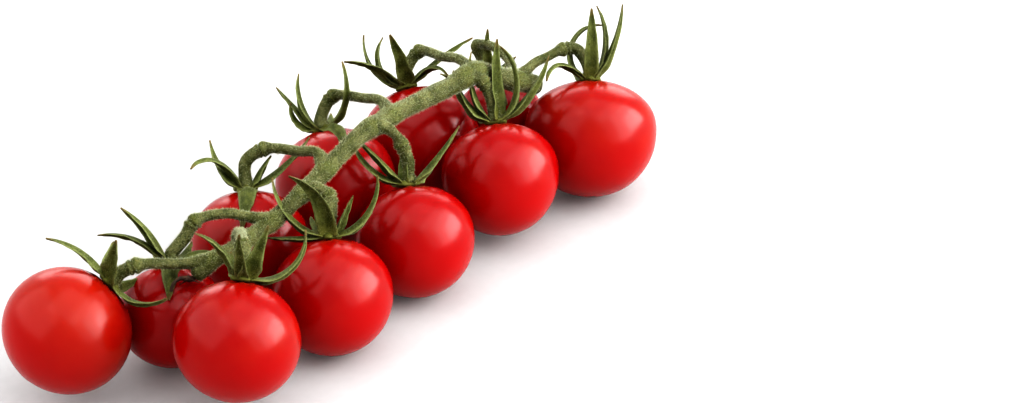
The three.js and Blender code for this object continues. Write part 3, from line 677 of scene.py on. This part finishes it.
def pedicel(index, sprig):
    """A fruit's stalk, from inside the main stem, over its knuckle, to inside the calyx."""
    rng = np.random.default_rng(STALK_SEED + index)
    rows, columns = 150, 24
    upright_run = 1.2
    sunk = 1.4
    widening = 0.05
    knuckle_half_length = 1.3
    ridge_height, crease_depth, crease_half_length = 0.5, 0.65, 0.35
    stem_flare, calyx_flare = 0.75, 0.45
    knuckle_freshness, calyx_freshness = 0.75, 0.4
    fruit_frame = FRUIT_FRAMES[index]
    axis = fruit_frame.to_3x3() @ Vector((0, 0, 1))
    plate = fruit_frame.translation + axis * (seat_height(sprig) + CALYX_THICKNESS + GAP)
    places = [*sprig["over"], sprig["knuckle"], *sprig["under"]]
    start = RACHIS_MIDDLES[round(sprig["leaves"] * (len(RACHIS_MIDDLES) - 1))]
    ending = [plate + axis * upright_run, plate, plate - axis * sunk]
    middles = spaced([start, *(plate + Vector(place) for place in places), *ending], rows)
    at = np.linspace(0, 1, len(middles))
    knuckle = np.array(plate + Vector(sprig["knuckle"]))
    bend = at[np.argmin(np.linalg.norm(middles - knuckle, axis=1))]
    # A millimetre of the stalk, as a share of its length.
    one = 1 / np.linalg.norm(np.diff(middles, axis=0), axis=1).sum()
    beyond = smooth_step(at, bend - widening, bend + widening)
    plain = PEDICEL_WIDTH + (STALK_WIDTH - PEDICEL_WIDTH) * beyond
    swelling = (KNUCKLE_WIDTH - plain) * bump(at, bend, knuckle_half_length * one)
    # The knuckle's lower edge is a crease with a ridge below it.
    ridge = ridge_height * bump(at, bend + 1.4 * one, crease_half_length * one)
    crease = crease_depth * bump(at, bend + 0.8 * one, crease_half_length * one)
    # The stalk flares where it leaves the stem and where it meets the calyx.
    leaving = stem_flare * plain * bump(at, 1.2 * one, 2.8 * one)
    meeting = calyx_flare * plain * bump(at, 1, 2.2 * one)
    radii = (plain + swelling + (ridge - crease) + (leaving + meeting)) / 2
    rings = tube_rings(middles, rounded(radii, middles), columns, rng, rough=0.05, ribs=0.03)
    surface = Surface()
    fresh = knuckle_freshness * bump(at, bend, 1.6 * one) + calyx_freshness * bump(at, 1, 3 * one)
    surface.add_rings(rings, at, fresh[:, None])
    surface.add_hairs(rings, rng, density=5.5, length=0.6, thick=0.042)
    piece = surface.build(f"fruit_stalk_{number_of(index)}", STEM_SKIN)
    finish_piece(piece, f"pedicel_{number_of(index)}")


# ---- A calyx --------------------------------------------------------------------------------------

def sepal_line(sprig, sepal):
    """The sepal's middle line in its fruit's frame, kept off the skin as in the CAD."""
    around, length, _, lift, curl, swing = sepal
    joints = 8
    skin = 2 * GAP + SEPAL_THICKNESS / 2
    clear_width = sprig["wide"] * FRUIT_WIDTH / 2 + skin
    clear = np.array([clear_width, clear_width, sprig["tall"] * FRUIT_HEIGHT / 2 + skin])
    turn = math.radians(around)
    level = seat_height(sprig) + CALYX_THICKNESS / 2
    place = np.array([SEPAL_ROOT * math.cos(turn), SEPAL_ROOT * math.sin(turn), level])
    line = [place.copy()]
    for joint in range(joints):
        along = (joint + 0.5) / joints
        turn = math.radians(around + swing * along)
        rise = math.radians(lift + curl * along)
        level_step = math.cos(rise)
        step = np.array([level_step * math.cos(turn), level_step * math.sin(turn), math.sin(rise)])
        place = place + step * length / joints
        depth = np.linalg.norm(place / clear)
        line.append(place / depth if depth < 1 and joint > 0 else place.copy())
    return line


def sepal_rings(sprig, sepal, rng):
    """A sepal folded along its midrib, its margins towards the fruit, drawn out to a thin curled tip."""
    around, _, width, _, _, swing = sepal
    rows, columns = 44, 9
    drawn_width = 0.66
    root_width, belly, tip_width = 0.8, 0.22, 0.12
    root_thickness, thinning = 0.62, 0.55
    least_fold, more_fold = 0.55, 0.25
    twisting, swaying = 0.35, 0.1
    uneven_width, wavy_margin = 0.06, 0.12
    rib_height, rib_half_width = 0.22, 0.2
    middles = spaced(sepal_line(sprig, sepal), rows)
    at = np.linspace(0, 1, rows)
    tangents = unit(np.gradient(middles, axis=0))
    turn = np.radians(around + swing * at)
    side = np.column_stack([-np.sin(turn), np.cos(turn), 0 * turn])
    side = unit(side - tangents * np.sum(side * tangents, axis=1, keepdims=True))
    up = np.cross(tangents, side)
    twist = (rng.normal() * twisting * at ** 1.5 + swaying * ripple(rng, rows, 3))[:, None]
    side, up = side * np.cos(twist) + up * np.sin(twist), up * np.cos(twist) - side * np.sin(twist)
    taper = (root_width + belly * bump(at, 0.2, 0.25)) * (1 - at ** 2.8) + tip_width
    half_width = width * SEPAL_WIDTH * taper * drawn_width * (1 + uneven_width * ripple(rng, rows, 6))
    fold = (least_fold + more_fold * rng.random()) * (0.35 + 0.65 * smooth_step(at, 0.02, 0.25))
    thick = (root_thickness * (1 - thinning * at))[:, None]
    # Heights over the flat sepal, along it and across it from -1 to 1.
    along = at[:, None]
    across = np.linspace(-1, 1, columns)[None, :]
    wave = wavy_margin * ripple(rng, rows, 7)[:, None] * np.sign(across) * np.abs(across) ** 2
    dip = -(fold * half_width)[:, None] * (np.sqrt(across ** 2 + 0.03) - 0.17) + wave
    plump = thick * (0.3 + 0.7 * (1 - across ** 2) ** 0.7)
    rib = rib_height * np.exp(-(across / rib_half_width) ** 2) * (1 - along ** 2)
    over = middles[:, None] + half_width[:, None, None] * across[:, :, None] * side[:, None]
    top = over + (dip + plump / 2 + rib)[:, :, None] * up[:, None]
    bottom = over + (dip - plump / 2)[:, :, None] * up[:, None]
    rings = np.concatenate([top, bottom[:, ::-1]], axis=1)
    edge = np.abs(np.concatenate([across, across], axis=1)).repeat(rows, 0)
    return rings, at, edge


def calyx(index, sprig):
    """A lobed plate on the fruit, with its sepals."""
    rng = np.random.default_rng(CALYX_SEED + index)
    columns = 48
    between_lobes = 0.62
    lobe_reach = 0.4
    lobe_half_turn = 0.45
    # The plate's rings, from its underside to the top: a share of its width, and a height.
    profile = [(0.55, -0.25), (0.9, -0.1), (1, 0.2), (0.98, 0.55), (0.86, 0.95), (0.7, 1.3),
               (0.55, 1.7), (0.4, 1.9)]
    surface = Surface()
    seat = seat_height(sprig)
    turn = np.linspace(0, 2 * math.pi, columns, endpoint=False)
    ways = [math.radians(around) for around, *_ in sprig["sepals"]]
    lobes = sum(bump((turn - way + math.pi) % (2 * math.pi), math.pi, lobe_half_turn) for way in ways)
    outer = CALYX_WIDTH / 2 * (between_lobes + lobe_reach * np.minimum(lobes, 1))
    rings = np.array([np.column_stack([outer * share * np.cos(turn), outer * share * np.sin(turn),
                                       np.full(len(turn), seat + height)])
                      for share, height in profile])
    surface.add_rings(rings, np.full(len(profile), 0.05), 0.0)
    for sepal in sprig["sepals"]:
        rings, at, edge = sepal_rings(sprig, sepal, rng)
        surface.add_rings(rings, at, edge)
        surface.add_hairs(rings, rng, density=3, length=0.42, thick=0.03)
    piece = surface.build(f"calyx_green_{number_of(index)}", SEPAL_SKIN, FRUIT_FRAMES[index])
    finish_piece(piece, f"calyx_{number_of(index)}")


def withered_bud():
    """The dried flower stalk at the tip, with the shrivelled remains of its flower."""
    rng = np.random.default_rng(BUD_SEED)
    rows, columns = 70, 14
    inside_stem = [0.8, 0, 0.3]
    flower_row = 18
    shreds = 4
    shred_rows, shred_columns = 16, 8
    shred_radius, shred_taper, shred_curl = 0.28, 0.8, 0.18
    hanging = np.array([-0.4, -0.2, -0.6])
    shrunken, swelling, shrivel = 0.9, 0.8, 0.12
    tip = Vector(RACHIS_MIDDLES[0])
    middles = spaced([tip + Vector(place) for place in (inside_stem, *BUD_ROUTE)], rows)
    flower = middles[flower_row]
    at = np.linspace(0, 1, len(middles))
    radii = BUD_WIDTH / 2 * (shrunken + swelling * bump(at, 0.25, 0.12))
    radii = radii * (1 + shrivel * ripple(rng, len(at), 9))
    rings = tube_rings(middles, rounded(radii, middles), columns, rng, rough=0.12, ribs=0.08)
    surface = Surface()
    surface.add_rings(rings, at, 0.0)
    surface.add_hairs(rings, rng, density=0.8, length=0.3, thick=0.03)
    for _ in range(shreds):
        way = unit(rng.normal(size=3) + hanging)
        curl = unit(rng.normal(size=3))
        route = [flower + way * reach + curl * reach ** 2 * shred_curl for reach in (0, 0.8, 1.6, 2.3)]
        at = np.linspace(0, 1, shred_rows)
        radii = shred_radius * (1 - shred_taper * at)
        shred = tube_rings(spaced(route, shred_rows), radii, shred_columns, rng, rough=0.1)
        surface.add_rings(shred, at, 0.0)
    piece = surface.build("dried_flower_stalk", DRIED_SKIN)
    finish_piece(piece, "withered_bud")


for number, entry in enumerate(SPRIGS):
    tomato(number, entry)
    pedicel(number, entry)
    calyx(number, entry)
rachis()
withered_bud()

# ---- Floor and light ------------------------------------------------------------------------------

def floor():
    """A plain pale sheet, just under the truss."""
    reach = 4.0
    clear = 0.0001
    shade = (0.36, 0.36, 0.36)
    other_shade = (0.37, 0.37, 0.37)
    mesh = bpy.data.meshes.new("floor")
    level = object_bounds()[0].z - clear
    corners = ((-reach, -reach), (reach, -reach), (reach, reach), (-reach, reach))
    mesh.from_pydata([(x, y, level) for x, y in corners], [], [(0, 1, 2, 3)])
    recipe = Recipe("floor")
    paper = recipe.noise(3, detail=3)
    recipe.set(Base_Color=recipe.mix(recipe.spread(paper, 0.3, 0.7), shade, other_shade))
    recipe.set(Roughness=0.85, Specular_IOR_Level=0.2, Emission_Color=(1, 1, 1, 1), Emission_Strength=0.03)
    mesh.materials.append(recipe.material)
    sheet = bpy.data.objects.new("floor", mesh)
    bpy.context.scene.collection.objects.link(sheet)
    sheet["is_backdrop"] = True


def softbox(name, azimuth, elevation, distance, width, height, glow):
    """A panel of light that faces the truss. azimuth turns from the camera's side towards its right."""
    aim = Vector((0, 0, 0.02))
    view = math.radians(CAMERA_TURN - 90 + azimuth)
    up = math.radians(elevation)
    way = Vector((math.cos(up) * math.cos(view), math.cos(up) * math.sin(view), math.sin(up)))
    data = bpy.data.lights.new(name, "AREA")
    data.shape = "RECTANGLE"
    data.size = width
    data.size_y = height
    data.energy = glow * math.pi * width * height
    panel = bpy.data.objects.new(name, data)
    panel.location = way * distance + aim
    panel.rotation_euler = way.to_track_quat("Z", "Y").to_euler()
    panel.visible_camera = False
    bpy.context.scene.collection.objects.link(panel)


floor()
# Name, azimuth, elevation, distance, width, height and glow. The three key panels overlap, so that
# the light they throw on a fruit is brightest at its lower right and fades from there.
softbox("key_core", 93, 18, 1.0, 0.7, 0.5, 3.6)
softbox("key_middle", 83, 26, 1.0, 1.1, 0.8, 2.5)
softbox("key_wide", 73, 34, 1.0, 1.6, 1.15, 1.1)
softbox("top", 60, 75, 1.1, 1.3, 1.2, 1.2)
softbox("left", -75, 42, 1.4, 2.4, 1.6, 1.1)
softbox("back", 180, 20, 1.3, 1.5, 0.6, 2.0)

WORLD_COLOUR = (1, 1, 1, 1)
WORLD_GLOW = 0.8
world = bpy.data.worlds.new("studio")
world.use_nodes = True
world.node_tree.nodes["Background"].inputs["Color"].default_value = WORLD_COLOUR
world.node_tree.nodes["Background"].inputs["Strength"].default_value = WORLD_GLOW
bpy.context.scene.world = world
bpy.context.scene.view_settings.view_transform = "Standard"
bpy.context.scene.view_settings.look = "Very High Contrast"
